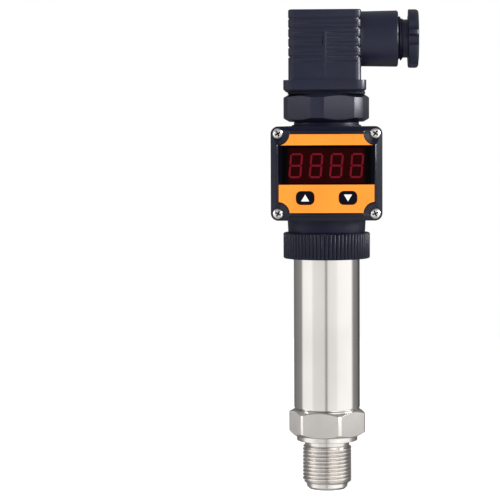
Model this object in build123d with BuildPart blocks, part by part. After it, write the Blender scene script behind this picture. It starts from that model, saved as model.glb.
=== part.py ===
from build123d import *
from math import radians, tan
import os

# Pressure transmitter: a stainless process fitting and tube, a display head that swivels on
# the tube under a knurled union ring, and a four-pole plug with a cable gland on top.
# All sizes are in millimetres. The origin is on the axis, at the sealing shoulder above the
# process thread. +Z runs up the axis, the display faces -Y and the gland points to +X.

# Clearances
slip = 0.1                  # radial play where a piece turns or slides in another
bear = 0.05                 # gap between flat faces that bear on each other and move
ease = 0.2                  # play round a piece that is only dropped into its place

# Process fitting, turned from hexagon bar
thread_r = 10.0             # M20 x 1.5 process thread
thread_len = 14.4
thread_lead = 0.9           # chamfer that starts the thread
relief_r = 9.1              # undercut between the thread and the shoulder
relief_len = 3.0
pilot_r = 8.35
pilot_len = 2.6
pilot_chamfer = 1.0
port_r = 3.0                # pressure port
collar_r = 12.45            # sealing collar
collar_h = 2.05
hex_flats = 28.0
hex_corner_r = 15.8         # the bar's corners are turned down to this radius
hex_h = 10.9
hex_chamfer = 1.5           # height of the end chamfers at the corners
hex_chamfer_angle = 30.0    # between an end chamfer and the end face
hex_turn = -11.0            # direction of one corner, from +X

# Pressure cell in the fitting
cell_r = 9.5
cell_h = 6.0
cell_floor_z = 4.0          # height of the seat that the cell stands on
diaphragm_r = 5.0
diaphragm_gap = 0.6
cell_seal_r = 7.0
cell_seal_section = 1.6
retainer_bore_r = 6.6
retainer_h = 3.0
spanner_slot_w = 2.0
spanner_slot_h = 1.2

# Stainless tube
tube_r = 13.5
tube_wall = 1.5
tube_len = 62.05            # the length that shows between the hexagon and the union ring
tube_foot_chamfer = 0.4
weld_spigot_h = 3.5         # part of the fitting that stands inside the tube
tube_flange_r = 15.2        # flange that the union ring pulls on
tube_flange_t = 1.5
tube_neck_h = 4.9           # tube above its flange, which centres the head

# Amplifier in the tube
carrier_h = 3.0
carrier_floor = 1.0
amp_board_w = 20.0
amp_board_t = 1.6
amp_board_len = 46.0
chip_t = 2.0
chip_w = 9.0
chip_h = 7.0
chip_pitch = 12.0
chip_count = 3
lead_r = 2.0                # lead from the amplifier to the head

# Union ring
ring_r = 17.7
ring_h = 10.5
ring_lip = 2.5              # inner lip under the flange of the tube
ring_edge = 0.4
rib_count = 68
rib_depth = 0.6
rib_groove_w = 1.05
slip_washer_t = 0.5
swivel_seal_section = 1.5

# Display housing: threaded spigot, neck, round column, box and upper neck
spigot_r = 15.4
neck_low_r = 15.7
neck_high_r = 16.0
neck_h = 5.65
column_bore_r = 13.0
display_w = 44.5
display_h = 37.6
display_corner = 3.0
face_d = 24.0               # distance from the axis to the display face
plateau_h = 2.0             # raised middle of the bezel
plateau_w = 39.6
plateau_tall = 34.0
plateau_edge = 0.5
bezel_flange = 4.0
bezel_gasket_t = 0.5
bezel_gasket_inset = 0.3
box_depth = 11.5
box_wall = 2.5
box_back_edge = 1.5
board_seat = 5.5            # depth of the board's seat behind the bezel joint
board_ledge = 1.5
roof_t = 3.0
shoulder_r = 14.2
shoulder_h = 0.6
upper_neck_r = 13.3
upper_neck_h = 1.8

# Bezel screws
screw_dx = 38.7
screw_dz = 31.8
boss_r = 2.9
screw_r = 1.2
screw_len = 9.0
screw_head_r = 2.15
screw_head_h = 1.6
screw_edge = 0.5
cross_w = 0.6
cross_l = 2.5
cross_depth = 0.9
screw_pocket_r = 4.2        # the plateau is cut back round each screw

# Face film, window, digits and keys
film_w = 38.0
film_h = 31.25
film_t = 0.3
film_pocket_r = 4.7
window_dz = 3.44            # the window's middle, above the middle of the display
window_w = 35.2
window_h = 15.7
window_lip = 0.5            # border of the window that the film covers
window_t = 2.0
bezel_plate_t = 2.2
module_w = 33.6
module_h = 14.0
digit_count = 4
digit_pitch = 8.1
digit_w = 5.1
digit_h = 9.9
digit_dx = -0.1
digit_dz = 3.15
digit_slant = 5.0
segment_w = 0.75
segment_gap = 0.12
segment_t = 0.3
dot_r = 0.45
key_dx = 8.5
key_rise = 5.975            # the keys' middle, above the lower edge of the film
key_w = 7.0
key_h = 5.15
key_corner = 1.9
key_proud = 0.4             # how far a key stands out of the film
key_flange = 0.7            # rim behind the plate that keeps a key in
key_flange_t = 0.8
key_travel = 0.4
key_stem_r = 1.4
display_board_t = 1.6
switch_w = 6.0
switch_h = 3.5
switch_stem_r = 1.5
switch_stem_h = 1.0

# Plug base with its hexagon
base_flats = 33.0
base_corner_r = 17.7
base_h = 11.3
base_chamfer = 1.5
base_turn = 17.9            # direction of one corner, from +X
base_spigot_r = 10.0
base_spigot_h = 9.6
base_bore_r = 8.3
base_floor_h = 4.0          # depth of the wiring space inside the hexagon
neck_seal_section = 1.4

# Contacts
pole_count = 4
pole_r = 6.5
blade_w = 6.3
blade_t = 0.8
blade_tail = 3.0
blade_reach = 10.0
socket_w = 7.4
socket_t = 3.0
socket_h = 9.0
socket_z = 4.7              # lower end of the sockets above the foot of the plug
terminal_r = 1.5
terminal_h = 2.0
terminal_slot = 0.5

# Plug hood
plug_gasket_t = 0.9
plug_gasket_w = 31.4
plug_gasket_d = 28.0
plug_gasket_corner = 8.0
plug_x = -0.65              # the middle of the hood, which sits a little behind the axis
plug_w = 29.3
plug_d = 27.5
plug_h = 32.85
plug_corner = 2.5
plug_edge = 0.7
plug_wall = 2.4
plug_roof = 4.0
plug_cavity_corner = 1.5
foot_w = 33.4
foot_d = 30.5
foot_h = 4.6
foot_corner = 4.0
foot_chamfer = 0.8
grip_count = 5
grip_pitch = 3.82
grip_first = 3.6            # the top groove below the top of the hood
grip_w = 0.9
grip_depth = 0.6
fine_grip_w = 0.6
fine_grip_depth = 0.35
fine_grip_inset = 1.75      # plain strip at each end of a fine groove
rib_bed_w = 1.8             # plain strip that carries the hood's upright rib
rib_w = 0.8
rib_proud = 0.2
rib_top = 8.75              # the rib's upper end below the top of the hood
rib_len = 18.1
insert_h = 18.0
insert_foot_gap = 0.2
plug_screw_r = 1.5
plug_screw_head_r = 2.8
plug_screw_head_h = 2.2
plug_screw_sink = 3.2
plug_screw_slot_w = 0.8
plug_screw_slot_h = 1.0
plug_nut_flats = 5.5
plug_nut_h = 3.8

# Cable gland
gland_rise = 21.45          # gland axis above the foot of the plug
barrel_root_r = 11.1
barrel_end_r = 11.4
barrel_len = 15.05          # from the side of the hood
barrel_chamfer = 0.5
gland_thread_r = 9.0
seal_len = 4.5
seal_bore_r = 3.6
wire_hole_r = 6.0
seat_t = 0.8
gland_washer_t = 0.8
gland_washer_play = 0.4     # by which the washer's hole is wider than the cable's
cable_r = 4.6               # hole for the cable through the nut
nut_gap = 4.15              # between the barrel and the head of the nut, as it stands
nut_thread_len = 9.0
nut_thread_out = 1.85       # thread that stands out of the barrel
nut_core_r = 7.75
nut_head_r = 12.0
nut_head_t = 4.1
nut_head_edge = 1.1
nut_mouth_r = 10.8
nut_mouth_depth = 1.2
nut_funnel_depth = 1.6
flute_pairs = 4
flute_spread = 30.0         # angle between the two flutes of a pair
flute_r = 2.4
flute_depth = 1.65          # deeper than the wall of the mouth, so that each flute opens into it
flute_turn = 4.0            # direction of one flute round the nut

# Heights along the axis
thread_top_z = -relief_len
thread_low_z = thread_top_z - thread_len
tip_z = thread_low_z - pilot_len
hex_z = collar_h
hex_top_z = hex_z + hex_h
chamber_r = cell_r + slip
cell_top_z = cell_floor_z + cell_h
weld_top_z = hex_top_z + weld_spigot_h
tube_bore_r = tube_r - tube_wall
amp_board_z = weld_top_z + carrier_floor
amp_board_top_z = amp_board_z + amp_board_len
ring_z = hex_top_z + tube_len
ring_floor_z = ring_z + ring_lip
slip_washer_z = ring_floor_z + bear
tube_flange_z = slip_washer_z + slip_washer_t + bear
tube_flange_top_z = tube_flange_z + tube_flange_t
tube_top_z = tube_flange_top_z + tube_neck_h
spigot_z = tube_flange_top_z + swivel_seal_section + ease
neck_z = ring_z + ring_h + bear
display_low_z = neck_z + neck_h
display_z = display_low_z + display_h / 2
key_dz = key_rise - film_h / 2
display_top_z = display_low_z + display_h
base_z = display_top_z + upper_neck_h
base_top_z = base_z + base_h
base_floor_z = base_z + base_floor_h
plug_z = base_top_z + plug_gasket_t
plug_top_z = plug_z + plug_h
gland_z = plug_z + gland_rise

# Distances in front of the axis
bezel_flange_d = face_d - plateau_h
bezel_back_d = bezel_flange_d - bezel_flange
joint_d = bezel_back_d - bezel_gasket_t
box_back_d = joint_d - box_depth
board_back_d = joint_d - board_seat
board_front_d = board_back_d + display_board_t
film_back_d = face_d - film_t
window_back_d = film_back_d - window_t
plate_back_d = face_d - bezel_plate_t
module_front_d = window_back_d - ease - segment_t

# Places along the gland
hood_side_x = plug_x + plug_w / 2
cavity_side_x = hood_side_x - plug_wall
seat_x = cavity_side_x + seat_t
barrel_end_x = hood_side_x + barrel_len
nut_head_x = barrel_end_x + nut_gap
nut_end_x = nut_head_x + nut_head_t
nut_thread_x = barrel_end_x + nut_thread_out
nut_nose_x = nut_thread_x - nut_thread_len
gland_bore_r = gland_thread_r + slip
gland_axis = Axis((0, 0, gland_z), (1, 0, 0))


def outline(points, plane=Plane.XZ):
    """Closed face through a few corner points. On Plane.XZ they are (radius, height)."""
    with BuildSketch(plane) as face:
        with BuildLine():
            Polyline(*points, close=True)
        make_face()
    return face.sketch


def hex_blank(corner_r, low, high, chamfer_h):
    """Profile of the turned blank that rounds and chamfers the corners of a hexagon."""
    end_r = corner_r - chamfer_h / tan(radians(hex_chamfer_angle))
    low_side = [(0, low), (end_r, low), (corner_r, low + chamfer_h)]
    high_side = [(corner_r, high - chamfer_h), (end_r, high), (0, high)]
    return outline(low_side + high_side)


def display_plane(distance):
    """Plane parallel to the display, centred on it, at a distance in front of the axis."""
    return Plane(origin=(0, -distance, display_z), x_dir=(1, 0, 0), z_dir=(0, -1, 0))


def gland_profile(points):
    """Face through (x, radius) points, drawn from the axis of the cable gland."""
    return outline(points, Plane(origin=(0, 0, gland_z), x_dir=(1, 0, 0), z_dir=(0, -1, 0)))


def gland_plane(x):
    """Plane across the cable gland at x, facing out of it."""
    return Plane(origin=(x, 0, gland_z), x_dir=(0, 1, 0), z_dir=(1, 0, 0))


# Process fitting: hexagon, collar, thread, pilot and the spigot that is welded into the tube
with BuildPart() as process_fitting:
    with BuildSketch(Plane.XY.offset(hex_z)):
        RegularPolygon(hex_flats / 2, 6, major_radius=False, rotation=hex_turn)
    extrude(amount=hex_h)
    blank = hex_blank(hex_corner_r, hex_z, hex_top_z, hex_chamfer)
    revolve(blank, axis=Axis.Z, mode=Mode.INTERSECT)
    stem = [
        (0, tip_z),
        (pilot_r - pilot_chamfer, tip_z),
        (pilot_r, tip_z + pilot_chamfer),
        (pilot_r, thread_low_z),
        (thread_r - thread_lead, thread_low_z),
        (thread_r, thread_low_z + thread_lead),
        (thread_r, thread_top_z),
        (relief_r, thread_top_z + thread_r - relief_r),
        (relief_r, 0),
        (collar_r, 0),
        (collar_r, hex_z),
        (tube_bore_r - bear, hex_z),
        (tube_bore_r - bear, weld_top_z),
        (0, weld_top_z),
    ]
    revolve(outline(stem), axis=Axis.Z)
    inside = [
        (0, tip_z),
        (port_r, tip_z),
        (port_r, cell_floor_z),
        (chamber_r, cell_floor_z),
        (chamber_r, weld_top_z),
        (0, weld_top_z),
    ]
    revolve(outline(inside), axis=Axis.Z, mode=Mode.SUBTRACT)
    with BuildSketch(Plane.XY.offset(cell_floor_z)):
        Circle(cell_seal_r + cell_seal_section / 2 + ease)
        Circle(cell_seal_r - cell_seal_section / 2 - ease, mode=Mode.SUBTRACT)
    extrude(amount=-cell_seal_section, mode=Mode.SUBTRACT)

# Seal under the pressure cell
with BuildPart() as cell_seal:
    with BuildSketch(Plane.XZ):
        with Locations((cell_seal_r, cell_floor_z - cell_seal_section / 2)):
            Circle(cell_seal_section / 2)
    revolve(axis=Axis.Z)

# Pressure cell: a disc with its diaphragm set back above the port
with BuildPart() as pressure_cell:
    with BuildSketch(Plane.XY.offset(cell_floor_z)):
        Circle(cell_r)
    extrude(amount=cell_h)
    with BuildSketch(Plane.XY.offset(cell_floor_z)):
        Circle(diaphragm_r)
    extrude(amount=diaphragm_gap, mode=Mode.SUBTRACT)

# Threaded ring that holds the cell down, with two slots for a pin spanner
with BuildPart() as cell_retainer:
    with BuildSketch(Plane.XY.offset(cell_top_z)):
        Circle(cell_r)
        Circle(retainer_bore_r, mode=Mode.SUBTRACT)
    extrude(amount=retainer_h)
    with BuildSketch(Plane.XY.offset(cell_top_z + retainer_h)):
        Rectangle(2 * thread_r, spanner_slot_w)
    extrude(amount=-spanner_slot_h, mode=Mode.SUBTRACT)

# Tube with the flange that the union ring pulls on
with BuildPart() as housing_tube:
    wall = [
        (tube_bore_r, hex_top_z),
        (tube_r - tube_foot_chamfer, hex_top_z),
        (tube_r, hex_top_z + tube_foot_chamfer),
        (tube_r, tube_flange_z),
        (tube_flange_r, tube_flange_z),
        (tube_flange_r, tube_flange_top_z),
        (tube_r, tube_flange_top_z),
        (tube_r, tube_top_z),
        (tube_bore_r, tube_top_z),
    ]
    revolve(outline(wall), axis=Axis.Z)

# Carrier that the amplifier board stands in
with BuildPart() as board_carrier:
    with BuildSketch(Plane.XY.offset(weld_top_z)):
        Circle(tube_bore_r - slip)
    extrude(amount=carrier_h)
    with BuildSketch(Plane.XY.offset(amp_board_z)):
        Rectangle(amp_board_w + 2 * ease, amp_board_t + 2 * bear)
    extrude(amount=carrier_h, mode=Mode.SUBTRACT)

# Amplifier board
with BuildPart() as amplifier_board:
    with BuildSketch(Plane.XY.offset(amp_board_z)):
        Rectangle(amp_board_w, amp_board_t)
    extrude(amount=amp_board_len)

# Chips on the front of the amplifier board
with BuildPart() as amplifier_chips:
    chips_z = amp_board_z + amp_board_len / 2
    chip_face = Plane(origin=(0, -amp_board_t / 2, chips_z), x_dir=(1, 0, 0), z_dir=(0, -1, 0))
    with BuildSketch(chip_face):
        with GridLocations(0, chip_pitch, 1, chip_count):
            Rectangle(chip_w, chip_h)
    extrude(amount=chip_t)

# Lead that runs up the axis from the amplifier to the plug base
with BuildPart() as signal_lead:
    with BuildSketch(Plane.XY.offset(amp_board_top_z)):
        Circle(lead_r)
    extrude(amount=base_floor_z - 2 * ease - amp_board_top_z)

# Seal between the flange of the tube and the head
with BuildPart() as swivel_seal:
    with BuildSketch(Plane.XZ):
        seal_x = tube_r + swivel_seal_section / 2
        with Locations((seal_x, tube_flange_top_z + swivel_seal_section / 2)):
            Circle(swivel_seal_section / 2)
    revolve(axis=Axis.Z)

# Washer that lets the union ring turn under the flange
with BuildPart() as slip_washer:
    with BuildSketch(Plane.XY.offset(slip_washer_z)):
        Circle(tube_flange_r)
        Circle(tube_r + slip, mode=Mode.SUBTRACT)
    extrude(amount=slip_washer_t)

# Union ring with its upright ribs
with BuildPart() as union_ring:
    with BuildSketch(Plane.XY.offset(ring_z)):
        Circle(ring_r)
        with PolarLocations(ring_r, rib_count):
            groove = [(rib_depth, -rib_groove_w), (rib_depth, rib_groove_w), (-rib_depth, 0)]
            Polygon(*groove, align=None, mode=Mode.SUBTRACT)
    extrude(amount=ring_h)
    ring_top_z = ring_z + ring_h
    ring_blank = [
        (0, ring_z),
        (ring_r - ring_edge, ring_z),
        (ring_r, ring_z + ring_edge),
        (ring_r, ring_top_z - ring_edge),
        (ring_r - ring_edge, ring_top_z),
        (0, ring_top_z),
    ]
    revolve(outline(ring_blank), axis=Axis.Z, mode=Mode.INTERSECT)
    ring_inside = [
        (0, ring_z),
        (tube_r + slip, ring_z),
        (tube_r + slip, ring_floor_z),
        (spigot_r + slip, ring_floor_z),
        (spigot_r + slip, ring_top_z),
        (0, ring_top_z),
    ]
    revolve(outline(ring_inside), axis=Axis.Z, mode=Mode.SUBTRACT)

# Display housing, one moulding: spigot, neck, round column, box and upper neck
with BuildPart() as display_housing:
    with BuildSketch(display_plane(box_back_d)):
        RectangleRounded(display_w, display_h, display_corner)
    extrude(amount=box_depth)
    fillet(faces().sort_by(Axis.Y)[-1].edges(), radius=box_back_edge)
    column = [
        (0, spigot_z),
        (spigot_r, spigot_z),
        (spigot_r, neck_z),
        (neck_low_r, neck_z),
        (neck_high_r, display_low_z),
        (neck_high_r, display_top_z - roof_t / 2),
        (neck_high_r - roof_t / 2, display_top_z),
        (shoulder_r, display_top_z),
        (shoulder_r, display_top_z + shoulder_h / 2),
        (shoulder_r - shoulder_h / 2, display_top_z + shoulder_h),
        (upper_neck_r, display_top_z + shoulder_h),
        (upper_neck_r, base_z),
        (0, base_z),
    ]
    revolve(outline(column), axis=Axis.Z)
    # Space behind the bezel, with a ledge for the board and a boss for each screw
    cavity_w = display_w - 2 * box_wall
    cavity_h = display_h - 2 * box_wall
    with BuildSketch(display_plane(joint_d)):
        Rectangle(cavity_w, cavity_h)
        with GridLocations(screw_dx, screw_dz, 2, 2):
            Circle(boss_r, mode=Mode.SUBTRACT)
    extrude(amount=-board_seat, mode=Mode.SUBTRACT)
    with BuildSketch(display_plane(board_back_d)):
        Rectangle(cavity_w - 2 * board_ledge, cavity_h - 2 * board_ledge)
        with GridLocations(screw_dx, screw_dz, 2, 2):
            Circle(boss_r + board_ledge, mode=Mode.SUBTRACT)
    extrude(amount=-(board_back_d - box_back_d - box_wall), mode=Mode.SUBTRACT)
    # Bore for the tube, hollow column and the hole for the plug base
    column_inside = [
        (0, spigot_z),
        (tube_r + slip, spigot_z),
        (tube_r + slip, tube_top_z + ease),
        (column_bore_r, tube_top_z + ease),
        (column_bore_r, display_top_z - roof_t),
        (base_spigot_r + slip, display_top_z - roof_t),
        (base_spigot_r + slip, base_z),
        (0, base_z),
    ]
    revolve(outline(column_inside), axis=Axis.Z, mode=Mode.SUBTRACT)
    # Threaded holes of the bezel screws
    with BuildSketch(display_plane(joint_d)):
        with GridLocations(screw_dx, screw_dz, 2, 2):
            Circle(screw_r + bear)
    extrude(amount=-(screw_len - bezel_flange - bezel_gasket_t + ease), mode=Mode.SUBTRACT)

# Gasket between the housing and the bezel
with BuildPart() as bezel_gasket:
    gasket_w = display_w - 2 * bezel_gasket_inset
    gasket_h = display_h - 2 * bezel_gasket_inset
    with BuildSketch(display_plane(joint_d)):
        RectangleRounded(gasket_w, gasket_h, display_corner - bezel_gasket_inset)
        Rectangle(cavity_w, cavity_h, mode=Mode.SUBTRACT)
        with GridLocations(screw_dx, screw_dz, 2, 2):
            Circle(boss_r - bezel_gasket_inset)
            Circle(screw_r + ease, mode=Mode.SUBTRACT)
    extrude(amount=bezel_gasket_t)

# Bezel: a flange with a raised middle that is cut back round the screws
with BuildPart() as front_bezel:
    with BuildSketch(display_plane(bezel_flange_d)):
        Rectangle(plateau_w, plateau_tall)
        with GridLocations(screw_dx, screw_dz, 2, 2):
            Circle(screw_pocket_r, mode=Mode.SUBTRACT)
    extrude(amount=plateau_h)
    chamfer(faces().sort_by(Axis.Y)[0].edges(), length=plateau_edge)
    with BuildSketch(display_plane(bezel_back_d)):
        RectangleRounded(display_w, display_h, display_corner)
    extrude(amount=bezel_flange)
    # Seat of the film
    with BuildSketch(display_plane(film_back_d)):
        Rectangle(film_w + 2 * slip, film_h + 2 * slip)
        with GridLocations(screw_dx, screw_dz, 2, 2):
            Circle(film_pocket_r - slip, mode=Mode.SUBTRACT)
    extrude(amount=film_t, mode=Mode.SUBTRACT)
    # Hollow behind the plate
    with BuildSketch(display_plane(bezel_back_d)):
        Rectangle(plateau_w - box_wall, plateau_tall - box_wall)
        with GridLocations(screw_dx, screw_dz, 2, 2):
            Circle(screw_pocket_r + box_wall / 2, mode=Mode.SUBTRACT)
    extrude(amount=plate_back_d - bezel_back_d, mode=Mode.SUBTRACT)
    # Openings for the window and the keys
    opening_back_d = min(window_back_d, plate_back_d)
    with BuildSketch(display_plane(opening_back_d)):
        with Locations((0, window_dz)):
            Rectangle(window_w + 2 * window_lip + 2 * slip, window_h + 2 * window_lip + 2 * slip)
        with Locations((-key_dx, key_dz), (key_dx, key_dz)):
            RectangleRounded(key_w + 2 * ease, key_h + 2 * ease, key_corner + ease)
    extrude(amount=face_d - opening_back_d, mode=Mode.SUBTRACT)
    with BuildSketch(display_plane(bezel_back_d)):
        with GridLocations(screw_dx, screw_dz, 2, 2):
            Circle(screw_r + ease)
    extrude(amount=bezel_flange, mode=Mode.SUBTRACT)

# Four bezel screws with cross recesses
with BuildPart() as bezel_screws:
    with BuildSketch(display_plane(bezel_flange_d)):
        with GridLocations(screw_dx, screw_dz, 2, 2):
            Circle(screw_head_r)
    extrude(amount=screw_head_h)
    fillet(faces().group_by(Axis.Y)[0].edges(), radius=screw_edge)
    with BuildSketch(display_plane(bezel_flange_d)):
        with GridLocations(screw_dx, screw_dz, 2, 2):
            Circle(screw_r)
    extrude(amount=-screw_len)
    with BuildSketch(display_plane(bezel_flange_d + screw_head_h)):
        with GridLocations(screw_dx, screw_dz, 2, 2):
            Rectangle(cross_l, cross_w)
            Rectangle(cross_w, cross_l)
    extrude(amount=-cross_depth, mode=Mode.SUBTRACT)

# Printed film on the face, with openings for the window and the keys
with BuildPart() as face_film:
    with BuildSketch(display_plane(film_back_d)):
        Rectangle(film_w, film_h)
        with GridLocations(screw_dx, screw_dz, 2, 2):
            Circle(film_pocket_r, mode=Mode.SUBTRACT)
        with Locations((0, window_dz)):
            Rectangle(window_w, window_h, mode=Mode.SUBTRACT)
        with Locations((-key_dx, key_dz), (key_dx, key_dz)):
            RectangleRounded(
                key_w + 2 * ease, key_h + 2 * ease, key_corner + ease, mode=Mode.SUBTRACT
            )
    extrude(amount=film_t)

# Red filter window behind the film
with BuildPart() as display_window:
    with BuildSketch(display_plane(window_back_d)):
        with Locations((0, window_dz)):
            Rectangle(window_w + 2 * window_lip, window_h + 2 * window_lip)
    extrude(amount=window_t)

# Body of the four-digit display module
with BuildPart() as led_module:
    with BuildSketch(display_plane(board_front_d)):
        with Locations((digit_dx, digit_dz)):
            Rectangle(module_w, module_h)
    extrude(amount=module_front_d - board_front_d)


def segment_bar(x, z, length, upright):
    """Corner points of one pointed segment bar, leaning with the digit."""
    half = length / 2 - segment_gap
    side = segment_w / 2
    bar = [
        (-half, 0),
        (side - half, side),
        (half - side, side),
        (half, 0),
        (half - side, -side),
        (side - half, -side),
    ]
    if upright:
        bar = [(b, a) for a, b in bar]
    lean = tan(radians(digit_slant))
    return [(x + a + (z + b) * lean, z + b) for a, b in bar]


# Light bars of the digits and their decimal points
with BuildPart() as digit_segments:
    bar_x = (digit_w - segment_w) / 2
    bar_z = (digit_h - segment_w) / 2
    with BuildSketch(display_plane(module_front_d)):
        first_x = digit_dx - digit_pitch * (digit_count - 1) / 2
        digit_places = [(first_x + i * digit_pitch, digit_dz) for i in range(digit_count)]
        with Locations(*digit_places):
            for level in (-bar_z, 0, bar_z):
                Polygon(*segment_bar(0, level, 2 * bar_x, False), align=None)
            for side_x in (-bar_x, bar_x):
                for level in (-bar_z / 2, bar_z / 2):
                    Polygon(*segment_bar(side_x, level, bar_z, True), align=None)
            with Locations((digit_w / 2 + 2 * dot_r, -digit_h / 2 + dot_r)):
                Circle(dot_r)
    extrude(amount=segment_t)

# Display board on its ledge in the housing
with BuildPart() as display_board:
    with BuildSketch(display_plane(board_back_d)):
        Rectangle(cavity_w - 2 * ease, cavity_h - 2 * ease)
        with GridLocations(screw_dx, screw_dz, 2, 2):
            Circle(boss_r + ease, mode=Mode.SUBTRACT)
    extrude(amount=display_board_t)


def key_switch(side_x):
    """Push switch on the display board, behind the key at side_x."""
    with BuildPart() as switch:
        with BuildSketch(display_plane(board_front_d)):
            with Locations((side_x, key_dz)):
                Rectangle(switch_w, switch_w)
        extrude(amount=switch_h)
        with BuildSketch(display_plane(board_front_d + switch_h)):
            with Locations((side_x, key_dz)):
                Circle(switch_stem_r)
        extrude(amount=switch_stem_h)
    return switch


def key(side_x):
    """Key with a rim behind the plate and a stem that reaches to its switch."""
    rim_d = plate_back_d - bear
    stem_end_d = board_front_d + switch_h + switch_stem_h + key_travel + slip
    with BuildPart() as cap:
        with BuildSketch(display_plane(rim_d)):
            with Locations((side_x, key_dz)):
                RectangleRounded(key_w, key_h, key_corner)
        extrude(amount=face_d + key_proud - rim_d)
        fillet(faces().sort_by(Axis.Y)[0].edges(), radius=key_proud / 2)
        with BuildSketch(display_plane(rim_d)):
            with Locations((side_x, key_dz)):
                Rectangle(key_w + 2 * key_flange, key_h + 2 * key_flange)
        extrude(amount=-key_flange_t)
        with BuildSketch(display_plane(stem_end_d)):
            with Locations((side_x, key_dz)):
                Circle(key_stem_r)
        extrude(amount=rim_d - stem_end_d)
    return cap


up_switch = key_switch(-key_dx)
down_switch = key_switch(key_dx)
up_key = key(-key_dx)
down_key = key(key_dx)

# Plug base: hexagon for the spanner, hollow spigot in the head, slots for the blades
with BuildPart() as plug_base:
    with BuildSketch(Plane.XY.offset(base_z)):
        RegularPolygon(base_flats / 2, 6, major_radius=False, rotation=base_turn)
    extrude(amount=base_h)
    base_blank = hex_blank(base_corner_r, base_z, base_top_z, base_chamfer)
    revolve(base_blank, axis=Axis.Z, mode=Mode.INTERSECT)
    seal_groove_z = base_z - neck_seal_section - 2 * ease
    base_spigot = [
        (0, base_z - base_spigot_h),
        (base_spigot_r, base_z - base_spigot_h),
        (base_spigot_r, seal_groove_z),
        (base_spigot_r - neck_seal_section + slip, seal_groove_z),
        (base_spigot_r - neck_seal_section + slip, base_z),
        (0, base_z),
    ]
    revolve(outline(base_spigot), axis=Axis.Z)
    with BuildSketch(Plane.XY.offset(base_z - base_spigot_h)):
        Circle(base_bore_r)
    extrude(amount=base_spigot_h + base_floor_h, mode=Mode.SUBTRACT)
    with BuildSketch(Plane.XY.offset(base_floor_z)):
        with PolarLocations(pole_r, pole_count):
            Rectangle(blade_t + 2 * bear, blade_w + 2 * bear)
        Circle(plug_screw_r + ease)
    extrude(amount=base_top_z - base_floor_z, mode=Mode.SUBTRACT)
    with BuildSketch(Plane.XY.offset(base_top_z)):
        RegularPolygon(plug_nut_flats / 2 + bear, 6, major_radius=False)
    extrude(amount=-plug_nut_h, mode=Mode.SUBTRACT)

# Seal in the groove of the base's spigot
with BuildPart() as neck_seal:
    with BuildSketch(Plane.XZ):
        neck_seal_r = base_spigot_r + slip - neck_seal_section / 2
        with Locations((neck_seal_r, base_z - ease - neck_seal_section / 2)):
            Circle(neck_seal_section / 2)
    revolve(axis=Axis.Z)

# Contact blades
with BuildPart() as contact_blades:
    with BuildSketch(Plane.XY.offset(base_floor_z - blade_tail)):
        with PolarLocations(pole_r, pole_count):
            Rectangle(blade_t, blade_w)
    extrude(amount=plug_z + blade_reach - base_floor_z + blade_tail)

# Nut in the base that the plug screw pulls on
with BuildPart() as plug_nut:
    with BuildSketch(Plane.XY.offset(base_top_z - plug_nut_h)):
        RegularPolygon(plug_nut_flats / 2, 6, major_radius=False)
        Circle(plug_screw_r + bear, mode=Mode.SUBTRACT)
    extrude(amount=plug_nut_h - ease)

# Flat gasket under the plug
with BuildPart() as plug_gasket:
    with BuildSketch(Plane.XY.offset(base_top_z)):
        RectangleRounded(plug_gasket_w, plug_gasket_d, plug_gasket_corner)
        with PolarLocations(pole_r, pole_count):
            Rectangle(blade_t + 2 * ease, blade_w + 2 * ease, mode=Mode.SUBTRACT)
        Circle(plug_screw_r + ease, mode=Mode.SUBTRACT)
    extrude(amount=plug_gasket_t)

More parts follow.
